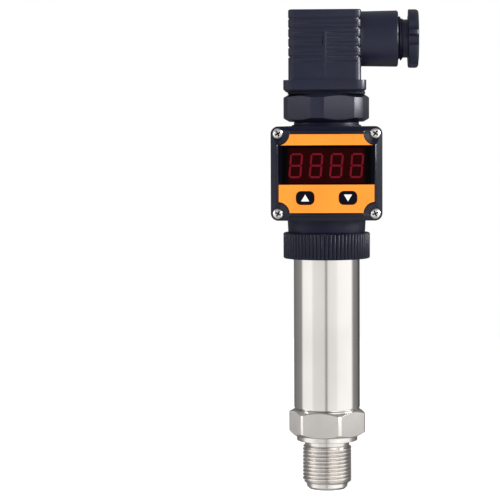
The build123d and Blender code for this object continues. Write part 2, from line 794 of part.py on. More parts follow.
# Plug hood, one moulding: body with a foot, grip grooves and the barrel of the cable gland
with BuildPart() as plug_hood:
    with BuildSketch(Plane.XY.offset(plug_z)):
        with Locations((plug_x, 0)):
            RectangleRounded(plug_w, plug_d, plug_corner)
    extrude(amount=plug_h)
    fillet(faces().sort_by(Axis.Z)[-1].edges(), radius=plug_edge)
    for row in range(grip_count):
        grip_z = plug_top_z - grip_first - row * grip_pitch
        with BuildSketch(Plane.XY.offset(grip_z - grip_w / 2)):
            with Locations((plug_x, 0)):
                RectangleRounded(plug_w + grip_depth, plug_d + grip_depth, plug_corner)
                RectangleRounded(
                    plug_w - 2 * grip_depth, plug_d - 2 * grip_depth, plug_corner, mode=Mode.SUBTRACT
                )
        extrude(amount=grip_w, mode=Mode.SUBTRACT)
        fine_z = grip_z - grip_pitch / 2
        with BuildSketch(Plane.XY.offset(fine_z - fine_grip_w / 2)):
            with Locations((plug_x, 0)):
                with GridLocations(0, plug_d, 1, 2):
                    Rectangle(plug_w - 2 * fine_grip_inset, 2 * fine_grip_depth)
        extrude(amount=fine_grip_w, mode=Mode.SUBTRACT)
    # Upright rib on a plain strip, across the lower grooves of the front and the back
    with BuildSketch(Plane.XY.offset(plug_top_z - rib_top - rib_len)):
        with Locations((plug_x, 0)):
            Rectangle(rib_bed_w, plug_d)
            Rectangle(rib_w, plug_d + 2 * rib_proud)
    extrude(amount=rib_len)
    barrel = [
        (cavity_side_x, 0),
        (cavity_side_x, barrel_root_r),
        (barrel_end_x - barrel_chamfer, barrel_end_r),
        (barrel_end_x, barrel_end_r - barrel_chamfer),
        (barrel_end_x, 0),
    ]
    revolve(gland_profile(barrel), axis=gland_axis)
    with BuildSketch(Plane.XY.offset(plug_z)):
        with Locations((plug_x, 0)):
            RectangleRounded(foot_w - 2 * foot_chamfer, foot_d - 2 * foot_chamfer, foot_corner)
    with BuildSketch(Plane.XY.offset(plug_z + foot_chamfer)):
        with Locations((plug_x, 0)):
            RectangleRounded(foot_w, foot_d, foot_corner)
    loft()
    with BuildSketch(Plane.XY.offset(plug_z + foot_chamfer)):
        with Locations((plug_x, 0)):
            RectangleRounded(foot_w, foot_d, foot_corner)
    extrude(amount=foot_h - foot_chamfer)
    # Inside of the hood and the way in for the wires
    with BuildSketch(Plane.XY.offset(plug_z)):
        with Locations((plug_x, 0)):
            RectangleRounded(plug_w - 2 * plug_wall, plug_d - 2 * plug_wall, plug_cavity_corner)
    extrude(amount=plug_h - plug_roof, mode=Mode.SUBTRACT)
    wire_way = [
        (cavity_side_x, 0),
        (cavity_side_x, wire_hole_r),
        (seat_x, wire_hole_r),
        (seat_x, gland_bore_r),
        (barrel_end_x, gland_bore_r),
        (barrel_end_x, 0),
    ]
    revolve(gland_profile(wire_way), axis=gland_axis, mode=Mode.SUBTRACT)
    # Sunk hole of the plug screw
    with BuildSketch(Plane.XY.offset(plug_top_z)):
        Circle(plug_screw_head_r + 2 * ease)
    extrude(amount=-plug_screw_sink, mode=Mode.SUBTRACT)
    with BuildSketch(Plane.XY.offset(plug_top_z)):
        Circle(plug_screw_r + ease)
    extrude(amount=-plug_roof, mode=Mode.SUBTRACT)

# Insert that holds the contact sockets
with BuildPart() as plug_insert:
    insert_z = plug_z + insert_foot_gap
    sockets_z = plug_z + socket_z
    with BuildSketch(Plane.XY.offset(insert_z)):
        with Locations((plug_x, 0)):
            RectangleRounded(
                plug_w - 2 * plug_wall - 2 * slip,
                plug_d - 2 * plug_wall - 2 * slip,
                plug_cavity_corner - slip,
            )
        with PolarLocations(pole_r, pole_count):
            Rectangle(blade_t + 2 * ease, blade_w + 2 * ease, mode=Mode.SUBTRACT)
        Circle(plug_screw_r + ease, mode=Mode.SUBTRACT)
    extrude(amount=insert_h)
    with BuildSketch(Plane.XY.offset(sockets_z)):
        with PolarLocations(pole_r, pole_count):
            Rectangle(socket_t + 2 * slip, socket_w + 2 * slip)
    extrude(amount=insert_h, mode=Mode.SUBTRACT)

# Contact sockets that grip the blades
with BuildPart() as contact_sockets:
    with BuildSketch(Plane.XY.offset(sockets_z)):
        with PolarLocations(pole_r, pole_count):
            Rectangle(socket_t, socket_w)
    extrude(amount=socket_h)
    with BuildSketch(Plane.XY.offset(sockets_z)):
        with PolarLocations(pole_r, pole_count):
            Rectangle(blade_t + 2 * bear, blade_w + 2 * bear)
    extrude(amount=plug_z + blade_reach + ease - sockets_z, mode=Mode.SUBTRACT)

# Terminal screws on the contact sockets
with BuildPart() as terminal_screws:
    terminal_z = sockets_z + socket_h
    with BuildSketch(Plane.XY.offset(terminal_z)):
        with PolarLocations(pole_r, pole_count):
            Circle(terminal_r)
    extrude(amount=terminal_h)
    with BuildSketch(Plane.XY.offset(terminal_z + terminal_h)):
        with PolarLocations(pole_r, pole_count):
            Rectangle(2 * terminal_r, terminal_slot)
    extrude(amount=-terminal_h / 2, mode=Mode.SUBTRACT)

# Screw through the plug
with BuildPart() as plug_screw:
    screw_seat_z = plug_top_z - plug_screw_sink
    with BuildSketch(Plane.XY.offset(screw_seat_z)):
        Circle(plug_screw_head_r)
    extrude(amount=plug_screw_head_h)
    with BuildSketch(Plane.XY.offset(base_floor_z + ease)):
        Circle(plug_screw_r)
    extrude(amount=screw_seat_z - base_floor_z - ease)
    with BuildSketch(Plane.XY.offset(screw_seat_z + plug_screw_head_h)):
        Rectangle(2 * plug_screw_head_r, plug_screw_slot_w)
    extrude(amount=-plug_screw_slot_h, mode=Mode.SUBTRACT)

# Rubber seal that grips the cable, against its seat in the barrel
with BuildPart() as gland_seal:
    with BuildSketch(gland_plane(seat_x)):
        Circle(gland_thread_r)
        Circle(seal_bore_r, mode=Mode.SUBTRACT)
    extrude(amount=seal_len)

# Washer that the nut pushes against the seal
with BuildPart() as gland_washer:
    with BuildSketch(gland_plane(nut_nose_x - bear)):
        Circle(gland_thread_r)
        Circle(cable_r + gland_washer_play, mode=Mode.SUBTRACT)
    extrude(amount=-gland_washer_t)

# Gland nut: threaded nose, undercut and a fluted head with a dished mouth
with BuildPart() as gland_nut:
    nut = [
        (nut_nose_x, 0),
        (nut_nose_x, gland_thread_r),
        (nut_thread_x, gland_thread_r),
        (nut_thread_x + gland_thread_r - nut_core_r, nut_core_r),
        (nut_head_x, nut_core_r),
        (nut_head_x, nut_head_r),
        (nut_end_x - nut_head_edge, nut_head_r),
        (nut_end_x, nut_head_r - nut_head_edge),
        (nut_end_x, 0),
    ]
    revolve(gland_profile(nut), axis=gland_axis)
    funnel_x = nut_end_x - nut_mouth_depth
    hole = [
        (nut_nose_x, 0),
        (nut_nose_x, cable_r),
        (funnel_x - nut_funnel_depth, cable_r),
        (funnel_x, nut_mouth_r),
        (nut_end_x, nut_mouth_r),
        (nut_end_x, 0),
    ]
    revolve(gland_profile(hole), axis=gland_axis, mode=Mode.SUBTRACT)
    with BuildSketch(gland_plane(nut_head_x)):
        for direction in (flute_turn, flute_turn - flute_spread):
            with PolarLocations(nut_head_r + flute_r - flute_depth, flute_pairs, direction):
                Circle(flute_r)
    extrude(amount=nut_head_t, mode=Mode.SUBTRACT)

pieces = {
    "process_fitting": process_fitting,
    "cell_seal": cell_seal,
    "pressure_cell": pressure_cell,
    "cell_retainer": cell_retainer,
    "housing_tube": housing_tube,
    "board_carrier": board_carrier,
    "amplifier_board": amplifier_board,
    "amplifier_chips": amplifier_chips,
    "signal_lead": signal_lead,
    "swivel_seal": swivel_seal,
    "slip_washer": slip_washer,
    "union_ring": union_ring,
    "display_housing": display_housing,
    "bezel_gasket": bezel_gasket,
    "front_bezel": front_bezel,
    "bezel_screws": bezel_screws,
    "face_film": face_film,
    "display_window": display_window,
    "led_module": led_module,
    "digit_segments": digit_segments,
    "display_board": display_board,
    "up_switch": up_switch,
    "down_switch": down_switch,
    "up_key": up_key,
    "down_key": down_key,
    "plug_base": plug_base,
    "neck_seal": neck_seal,
    "contact_blades": contact_blades,
    "plug_nut": plug_nut,
    "plug_gasket": plug_gasket,
    "plug_hood": plug_hood,
    "plug_insert": plug_insert,
    "contact_sockets": contact_sockets,
    "terminal_screws": terminal_screws,
    "plug_screw": plug_screw,
    "gland_seal": gland_seal,
    "gland_washer": gland_washer,
    "gland_nut": gland_nut,
}

os.makedirs("parts", exist_ok=True)
for name, piece in pieces.items():
    piece.part.label = name
    export_step(piece.part, f"parts/{name}.step")
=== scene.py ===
from math import acos, atan2, cos, pi, radians, sin, sqrt, tan

import bmesh
import bpy
from bpy.props import FloatProperty, FloatVectorProperty, IntProperty, PointerProperty
from mathutils import Matrix, Vector


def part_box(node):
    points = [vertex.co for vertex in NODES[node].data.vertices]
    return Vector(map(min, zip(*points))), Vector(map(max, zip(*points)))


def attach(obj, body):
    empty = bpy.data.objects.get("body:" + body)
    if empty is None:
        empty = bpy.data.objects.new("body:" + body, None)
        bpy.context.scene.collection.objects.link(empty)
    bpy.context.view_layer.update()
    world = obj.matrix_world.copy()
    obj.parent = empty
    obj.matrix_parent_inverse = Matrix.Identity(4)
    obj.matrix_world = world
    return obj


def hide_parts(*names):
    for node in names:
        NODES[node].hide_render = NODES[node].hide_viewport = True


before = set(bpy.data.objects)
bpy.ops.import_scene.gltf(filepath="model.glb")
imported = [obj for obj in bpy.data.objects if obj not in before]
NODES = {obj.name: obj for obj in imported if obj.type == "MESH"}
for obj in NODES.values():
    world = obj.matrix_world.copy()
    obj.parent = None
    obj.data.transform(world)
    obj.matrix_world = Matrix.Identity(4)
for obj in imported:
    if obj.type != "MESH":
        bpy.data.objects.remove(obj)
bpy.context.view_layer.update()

bl_info = {
    "name": "Pressure transmitter",
    "version": (1, 0, 0),
    "blender": (4, 5, 0),
    "location": "View3D > Sidebar > Transmitter",
    "description": "Dresses the frame of a pressure transmitter with its pieces and finishes",
    "category": "Add Mesh",
}

# Sizes are in metres, in the frame of the CAD model: the origin is on the axis at the sealing
# shoulder, +Z runs up the axis, the display faces -Y and the cable gland points to +X.
MM = 0.001
WELD = 1e-6                  # points nearer than this are one corner


def node_box(node):
    """Lowest and highest corner of a CAD node, as two tuples."""
    low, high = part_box(node)
    return tuple(low), tuple(high)


FITTING_LOW, FITTING_HIGH = node_box("process_fitting")
TUBE_LOW, TUBE_HIGH = node_box("housing_tube")
RING_LOW, RING_HIGH = node_box("union_ring")
WINDOW_LOW, WINDOW_HIGH = node_box("display_window")
SCREWS_LOW, SCREWS_HIGH = node_box("bezel_screws")
NUT_LOW, NUT_HIGH = node_box("gland_nut")
GLAND_Z = (NUT_LOW[2] + NUT_HIGH[2]) / 2


# Properties

def linear(code):
    """Linear colour, with alpha, of an sRGB hex value."""
    parts = [int(code[i:i + 2], 16) / 255 for i in (0, 2, 4)]
    return [c / 12.92 if c <= 0.04045 else ((c + 0.055) / 1.055) ** 2.4 for c in parts] + [1.0]


def length(name, description, millimetres):
    """Property for a length."""
    return FloatProperty(
        name=name,
        description=description,
        default=millimetres * MM,
        min=0.0,
        precision=5,
        subtype="DISTANCE",
        unit="LENGTH",
    )


def tint(name, description, code):
    """Property for a colour."""
    return FloatVectorProperty(
        name=name,
        description=description,
        default=linear(code)[:3],
        size=3,
        min=0.0,
        max=1.0,
        subtype="COLOR",
    )


class TransmitterSizes(bpy.types.PropertyGroup):
    """Sizes of the details that are modelled here"""
    thread_r: length("Thread radius", "Outside of the process thread", 10.0)
    thread_pitch: length("Thread pitch", "Rise of the process thread in one turn", 1.5)
    thread_depth: length("Thread depth", "Height of the ridge of the process thread", 0.92)
    thread_len: length("Thread length", "Length of the process thread", 15.6)
    hex_flats: length("Hexagon", "Distance across the flats of the fitting", 28.0)
    rib_depth: length("Rib depth", "Depth of the grooves between the ribs of the union ring", 0.6)
    rib_count: IntProperty(
        name="Ribs",
        description="Number of upright ribs round the union ring",
        default=68,
        min=12,
    )
    flute_depth: length("Flute depth", "Depth of the flutes in the head of the gland nut", 1.65)
    flute_pairs: IntProperty(
        name="Flute pairs",
        description="Number of pairs of flutes round the head of the gland nut",
        default=4,
        min=2,
    )
    plastic_edge: length("Moulded edge", "Rounding of the edges of the mouldings", 0.25)
    metal_edge: length("Metal edge", "Rounding of the edges of the fitting", 0.2)
    mark_w: length("Arrow width", "Width of the arrows on the keys", 3.2)
    mark_h: length("Arrow height", "Height of the arrows on the keys", 2.7)


class TransmitterColours(bpy.types.PropertyGroup):
    """Colours of the finishes"""
    steel: tint("Stainless steel", "Turned and polished stainless steel", "DAD6D2")
    milled: tint("Milled steel", "Flats of the hexagon", "B4B0AC")
    plastic: tint("Black nylon", "Hood, plug base, union ring and gland nut", "1C1F31")
    housing: tint("Black ABS", "Display housing and bezel", "11142A")
    orange: tint("Orange print", "Bands of the face film", "FC9236")
    film_black: tint("Black print", "Middle band of the face film", "08080F")
    window: tint("Red filter", "Window in front of the digits", "7B3B50")
    digits: tint("Digits", "Light of the segments", "FF7A88")
    # Colour of the red glow painted on the case of the digits by emission
    module: tint("Module resin", "Case of the digits, dimly lit from inside", "FF3044")
    plated: tint("Plated steel", "Bezel screws", "E8E6E2")
    arrows: tint("Arrow print", "Arrows on the keys", "F4F2EE")
    floor: tint("Floor", "Floor under the transmitter", "F6F6F5")


# Node helpers

def put(tree, kind, inputs=None, **settings):
    """Add a node with its settings, and set or link its inputs."""
    node = tree.nodes.new("ShaderNode" + kind)
    for name, value in settings.items():
        setattr(node, name, value)
    for name, value in (inputs or {}).items():
        if isinstance(value, bpy.types.NodeSocket):
            tree.links.new(value, node.inputs[name])
        else:
            node.inputs[name].default_value = value
    return node


def ramp(node, stops):
    """Set the stops of a colour ramp: (place, colour or grey)."""
    elements = node.color_ramp.elements
    while len(elements) < len(stops):
        elements.new(0.5)
    for element, (place, value) in zip(elements, stops):
        element.position = place
        element.color = value if isinstance(value, (list, tuple)) else (value, value, value, 1.0)
    return node.outputs["Color"]


def per(millimetres):
    """Texture scale at which a feature is about so many millimetres wide."""
    return 1.0 / (millimetres * MM)


def surface(name, **sockets):
    """New material with a principled shader; returns the material, its tree and its shader."""
    material = bpy.data.materials.new(name)
    material.use_nodes = True
    tree = material.node_tree
    tree.nodes.clear()
    inputs = {key.replace("_", " ").title().replace("Ior", "IOR"): v for key, v in sockets.items()}
    shader = put(tree, "BsdfPrincipled", inputs)
    put(tree, "OutputMaterial", {"Surface": shader.outputs["BSDF"]})
    return material, tree, shader


def shade(colour, factor):
    """A colour made lighter or darker, with alpha."""
    return [min(1.0, c * factor) for c in list(colour)[:3]] + [1.0]


def wear(tree, shader, colour, low, high, grain, cloud, depth, stretch=(1.0, 1.0, 1.0)):
    """Fine grain in bump and roughness, and slow clouds in the colour, over a surface."""
    place = put(tree, "TexCoord").outputs["Object"]
    spread = put(tree, "Mapping", {"Vector": place, "Scale": stretch}).outputs["Vector"]
    fine = put(tree, "TexNoise", {"Vector": spread, "Scale": per(grain), "Detail": 3.0})
    slow = put(tree, "TexNoise", {"Vector": place, "Scale": per(cloud), "Detail": 2.0})
    tone = ramp(
        put(tree, "ValToRGB", {"Fac": slow.outputs["Fac"]}),
        [(0.3, shade(colour, 0.92)), (0.7, shade(colour, 1.06))],
    )
    gloss = put(tree, "MapRange", {"Value": fine.outputs["Fac"], "To Min": low, "To Max": high})
    bump = put(
        tree, "Bump", {"Height": fine.outputs["Fac"], "Distance": depth * MM, "Strength": 0.6}
    )
    tree.links.new(tone, shader.inputs["Base Color"])
    tree.links.new(gloss.outputs["Result"], shader.inputs["Roughness"])
    tree.links.new(bump.outputs["Normal"], shader.inputs["Normal"])
    return place


# Finishes: each is made once and kept by its name

FINISHES = {}


def finish(make):
    """Keep a material that a function makes, and hand it out again when asked for."""
    def kept():
        if make.__name__ not in FINISHES:
            FINISHES[make.__name__] = make(bpy.context.scene.transmitter_colours)
        return FINISHES[make.__name__]
    return kept


@finish
def stainless_polished(colours):
    # Stainless tube, turned and then polished round: clear reflections that run upright
    material, tree, shader = surface("stainless_polished", metallic=1.0, anisotropic=0.35)
    wear(tree, shader, colours.steel, 0.09, 0.15, 0.35, 30.0, 0.002, (0.04, 0.04, 1.0))
    round_axis = put(tree, "Tangent", direction_type="RADIAL", axis="Z")
    tree.links.new(round_axis.outputs["Tangent"], shader.inputs["Tangent"])
    return material


@finish
def stainless_turned(colours):
    # Stainless bar, turned on a lathe and milled flat: satin, with faint tool lines
    material, tree, shader = surface("stainless_turned", metallic=1.0)
    wear(tree, shader, colours.steel, 0.2, 0.3, 0.3, 9.0, 0.002, (0.12, 0.12, 1.0))
    return material


@finish
def stainless_milled(colours):
    # Flats of the hexagon, as the bar was drawn and then brushed: even, dull and pale
    material, tree, shader = surface("stainless_milled", metallic=0.35)
    wear(tree, shader, colours.milled, 0.6, 0.7, 0.4, 14.0, 0.0012, (1.0, 1.0, 0.1))
    return material


@finish
def nylon_moulded(colours):
    # Glass-filled nylon, moulded in a lightly eroded mould: blue-black, a dull satin sheen
    material, tree, shader = surface("nylon_moulded", ior=1.53, specular_ior_level=0.25)
    wear(tree, shader, colours.plastic, 0.3, 0.38, 0.25, 14.0, 0.004)
    return material


@finish
def nylon_ring_painted_shade(colours):
    # The same nylon on the ring, painted darker as shade, and with a duller sheen
    material, tree, shader = surface("nylon_ring_painted_shade", ior=1.53, specular_ior_level=0.16)
    # Painted shade: the base colour is the moulded nylon's at 0.7
    wear(tree, shader, shade(colours.plastic, 0.7), 0.38, 0.46, 0.25, 14.0, 0.004)
    return material


@finish
def abs_moulded(colours):
    # ABS from a lightly textured mould: darker and duller than the nylon
    material, tree, shader = surface("abs_moulded", ior=1.54, specular_ior_level=0.15)
    wear(tree, shader, colours.housing, 0.36, 0.44, 0.4, 18.0, 0.004)
    return material


@finish
def abs_polished(colours):
    # ABS from a polished mould: its rounded edges carry bright thin lines
    material, tree, shader = surface("abs_polished", ior=1.54, specular_ior_level=0.3)
    wear(tree, shader, shade(colours.plastic, 0.72), 0.13, 0.18, 0.4, 18.0, 0.002)
    return material


@finish
def polyester_film(colours):
    # Polyester film, screen printed orange, with a faint glow of painted light from emission: even
    # and bright under a low gloss
    material, tree, shader = surface("polyester_film", ior=1.58, specular_ior_level=0.1)
    place = wear(tree, shader, colours.orange, 0.06, 0.1, 0.5, 20.0, 0.0005)
    height = put(tree, "SeparateXYZ", {"Vector": place}).outputs["Z"]
    above = put(tree, "Math", {0: height, 1: WINDOW_LOW[2] + 0.5 * MM}, operation="GREATER_THAN")
    below = put(tree, "Math", {0: height, 1: WINDOW_HIGH[2] - 0.5 * MM}, operation="LESS_THAN")
    middle = put(
        tree, "Math", {0: above.outputs[0], 1: below.outputs[0]}, operation="MULTIPLY"
    ).outputs[0]
    printed = shader.inputs["Base Color"].links[0].from_socket
    mix = put(
        tree,
        "Mix",
        {"Factor": middle, "A": printed, "B": list(colours.film_black) + [1.0]},
        data_type="RGBA",
    )
    tree.links.new(mix.outputs["Result"], shader.inputs["Base Color"])
    # Painted light: the print also glows a little, so that it looks more brightly lit
    tree.links.new(mix.outputs["Result"], shader.inputs["Emission Color"])
    shader.inputs["Emission Strength"].default_value = 0.1
    return material


@finish
def acrylic_red(colours):
    # Cast acrylic dyed deep red: nearly black until something behind it is lit
    material, tree, shader = surface(
        "acrylic_red", ior=1.49, transmission_weight=1.0, specular_ior_level=0.08
    )
    wear(tree, shader, colours.window, 0.01, 0.03, 2.0, 25.0, 0.0)
    return material


@finish
def resin_red_lit(colours):
    # Light bars of clear resin over red diodes, weakly lit
    material, tree, shader = surface("resin_red_lit", ior=1.5, emission_strength=0.8)
    wear(tree, shader, colours.digits, 0.35, 0.5, 0.4, 3.0, 0.004)
    tone = shader.inputs["Base Color"].links[0].from_socket
    tree.links.new(tone, shader.inputs["Emission Color"])
    return material


@finish
def resin_red_dark(colours):
    # The same resin over diodes that are off: the decimal points hardly show
    material, tree, shader = surface("resin_red_dark", ior=1.5, specular_ior_level=0.2)
    wear(tree, shader, shade(colours.digits, 0.12), 0.35, 0.5, 0.4, 3.0, 0.004)
    return material


@finish
def resin_case(colours):
    # Case of the digits, cast in dark resin: black, with a faint red glow painted on by emission
    # over its middle
    material, tree, shader = surface("resin_case", ior=1.5, specular_ior_level=0.2)
    place = wear(tree, shader, linear("0B080D"), 0.5, 0.6, 0.3, 8.0, 0.006)
    aside = put(tree, "SeparateXYZ", {"Vector": place}).outputs["X"]
    away = put(tree, "Math", {0: aside}, operation="ABSOLUTE")
    painted_glow = put(
        tree,
        "MapRange",
        {
            "Value": away.outputs[0],
            "From Min": 14.0 * MM,
            "From Max": 16.0 * MM,
            "To Min": 0.1,
            "To Max": 0.0,
        },
        interpolation_type="SMOOTHSTEP",
    )
    tree.links.new(painted_glow.outputs["Result"], shader.inputs["Emission Strength"])
    shader.inputs["Emission Color"].default_value = list(colours.module) + [1.0]
    return material


@finish
def steel_plated(colours):
    # Steel screws with bright nickel plate: light, slightly soft reflections
    material, tree, shader = surface("steel_plated", metallic=1.0)
    wear(tree, shader, colours.plated, 0.3, 0.4, 0.3, 2.0, 0.002)
    return material


@finish
def recess_painted_shade(colours):
    # Bottom of a cross recess, painted near black as shade, so it reads as a dark cross
    material, tree, shader = surface("recess_painted_shade", ior=1.5)
    wear(tree, shader, shade(colours.plated, 0.02), 0.6, 0.8, 0.2, 1.0, 0.004)
    return material


@finish
def silicone_black(colours):
    # Silicone rubber keys, moulded: matt black
    material, tree, shader = surface("silicone_black", ior=1.41, specular_ior_level=0.1)
    wear(tree, shader, shade(colours.housing, 0.25), 0.4, 0.52, 0.2, 5.0, 0.004)
    return material


@finish
def ink_white(colours):
    # White pad print on rubber: flat, with slightly uneven cover
    material, tree, shader = surface("ink_white", ior=1.5)
    wear(tree, shader, colours.arrows, 0.5, 0.65, 0.15, 1.5, 0.003)
    return material


def plain_finish(name, code, low, high, grain, depth, ior=1.5, metallic=0.0):
    """Finish of a piece that is mostly hidden."""
    if name not in FINISHES:
        gloss = 0.5 if metallic else 0.2
        material, tree, shader = surface(
            name, ior=ior, metallic=metallic, specular_ior_level=gloss
        )
        wear(tree, shader, linear(code), low, high, grain, 8.0, depth)
        FINISHES[name] = material
    return FINISHES[name]


def nitrile():
    """Moulded rubber of the gaskets and O-rings: dull and nearly black."""
    return plain_finish("nitrile_moulded", "08080E", 0.6, 0.75, 0.2, 0.01, 1.52)


def natural_nylon():
    """Undyed nylon of the washers: a milky white."""
    return plain_finish("nylon_natural", "DAD4C4", 0.35, 0.5, 0.3, 0.006, 1.53)


# Mesh helpers

def rounded(points, radius, steps=3):
    """An open line of 2-D points with each inner corner rounded."""
    line = [points[0]]
    for before, corner, after in zip(points, points[1:], points[2:]):
        back = Vector(before) - Vector(corner)
        on = Vector(after) - Vector(corner)
        reach = min(radius, back.length * 0.45, on.length * 0.45)
        start = Vector(corner) + back.normalized() * reach
        end = Vector(corner) + on.normalized() * reach
        for i in range(steps + 1):
            t = i / steps
            point = start * (1 - t) ** 2 + Vector(corner) * 2 * t * (1 - t) + end * t ** 2
            line.append(tuple(point))
    line.append(points[-1])
    return line


def circle(radius, height, angles):
    """Ring of points round Z."""
    return [(radius * cos(a), radius * sin(a), height) for a in angles]


def lay(bm, rings, looped=False, open_rings=False):
    """Lay faces between rings of points; a looped skin joins its last ring to its first."""
    rows = [[bm.verts.new(point) for point in ring] for ring in rings]
    for low, high in zip(rows, rows[1:] + (rows[:1] if looped else [])):
        for i in range(len(low) - (1 if open_rings else 0)):
            j = (i + 1) % len(low)
            bm.faces.new((low[i], low[j], high[j], high[i]))


def turned(profile, angles):
    """Skin of a closed profile of (radius, height) points swept round Z."""
    bm = bmesh.new()
    lay(bm, [circle(r, z, angles) for r, z in profile], looped=True)
    return bm


def thread_rows(crest_r, core_r, pitch, low, high, angles):
    """Rows of a thread that rises from low to high and runs out at both ends."""
    # Within one pitch: the narrow root, the flank up, the broad crest; the flank down follows
    phases = [(0.0, core_r), (0.08, core_r), (0.4, crest_r), (0.68, crest_r)]
    turns = int((high - low) / pitch) + 2
    fade = 0.5 * pitch
    rows = []
    for turn in range(-1, turns):
        for phase, radius in phases:
            row = []
            for a in list(angles) + [angles[0] + 2 * pi]:
                z = low + (turn + phase + (a - angles[0]) / (2 * pi)) * pitch
                z = min(max(z, low), high)
                full = max(0.0, min(1.0, (z - low) / fade, (high - z) / fade))
                r = core_r + (radius - core_r) * full
                row.append((r * cos(a), r * sin(a), z))
            rows.append(row)
    return rows


def close(bm):
    """Weld a skin, take out faces without area and turn all faces outwards."""
    bmesh.ops.remove_doubles(bm, verts=bm.verts, dist=WELD)
    bmesh.ops.dissolve_degenerate(bm, edges=bm.edges, dist=WELD / 2)
    bmesh.ops.recalc_face_normals(bm, faces=bm.faces)
    if bm.calc_volume(signed=True) < 0:
        bmesh.ops.reverse_faces(bm, faces=bm.faces)
    return bm


def cast(node):
    """Copy of a CAD node's skin with its corners welded."""
    bm = bmesh.new()
    bm.from_mesh(NODES[node].data)
    bmesh.ops.remove_doubles(bm, verts=bm.verts, dist=WELD)
    return bm


def shells(bm):
    """The separate skins of a mesh, each as a list of faces."""
    found, left = [], set(bm.faces)
    while left:
        shell = [left.pop()]
        for face in shell:
            near = {other for edge in face.edges for other in edge.link_faces} & left
            left -= near
            shell.extend(near)
        found.append(shell)
    return found


def soften(bm, width, angle=35.0, low=-1.0, high=1.0):
    """Round the edges that are sharper than an angle, between two heights."""
    edges = []
    for edge in bm.edges:
        height = (edge.verts[0].co.z + edge.verts[1].co.z) / 2
        if edge.is_manifold and low < height < high and edge.calc_face_angle(0) > radians(angle):
            edges.append(edge)
    bmesh.ops.bevel(
        bm,
        geom=edges,
        offset=width,
        offset_type="OFFSET",
        segments=2,
        profile=0.6,
        affect="EDGES",
        clamp_overlap=False,
        miter_outer="ARC",
    )
    return close(bm)


def piece(name, bm, body, slot, nodes, *materials, sharp=32.0):
    """Object from a skin, riding on a body and standing for CAD nodes."""
    mesh = bpy.data.meshes.new(name)
    bm.to_mesh(mesh)
    bm.free()
    if "custom_normal" in mesh.attributes:
        mesh.attributes.remove(mesh.attributes["custom_normal"])
    for material in materials:
        mesh.materials.append(material)
    mesh.shade_smooth()
    mesh.set_sharp_from_angle(angle=radians(sharp))
    made = bpy.data.objects.new(name, mesh)
    bpy.context.collection.objects.link(made)
    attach(made, body)
    if nodes:
        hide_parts(*nodes)


def dress(node, material):
    """Give a CAD node that stays as it is its finish."""
    for slot in NODES[node].material_slots:
        slot.material = material


# The operators, one for each piece or group of like pieces

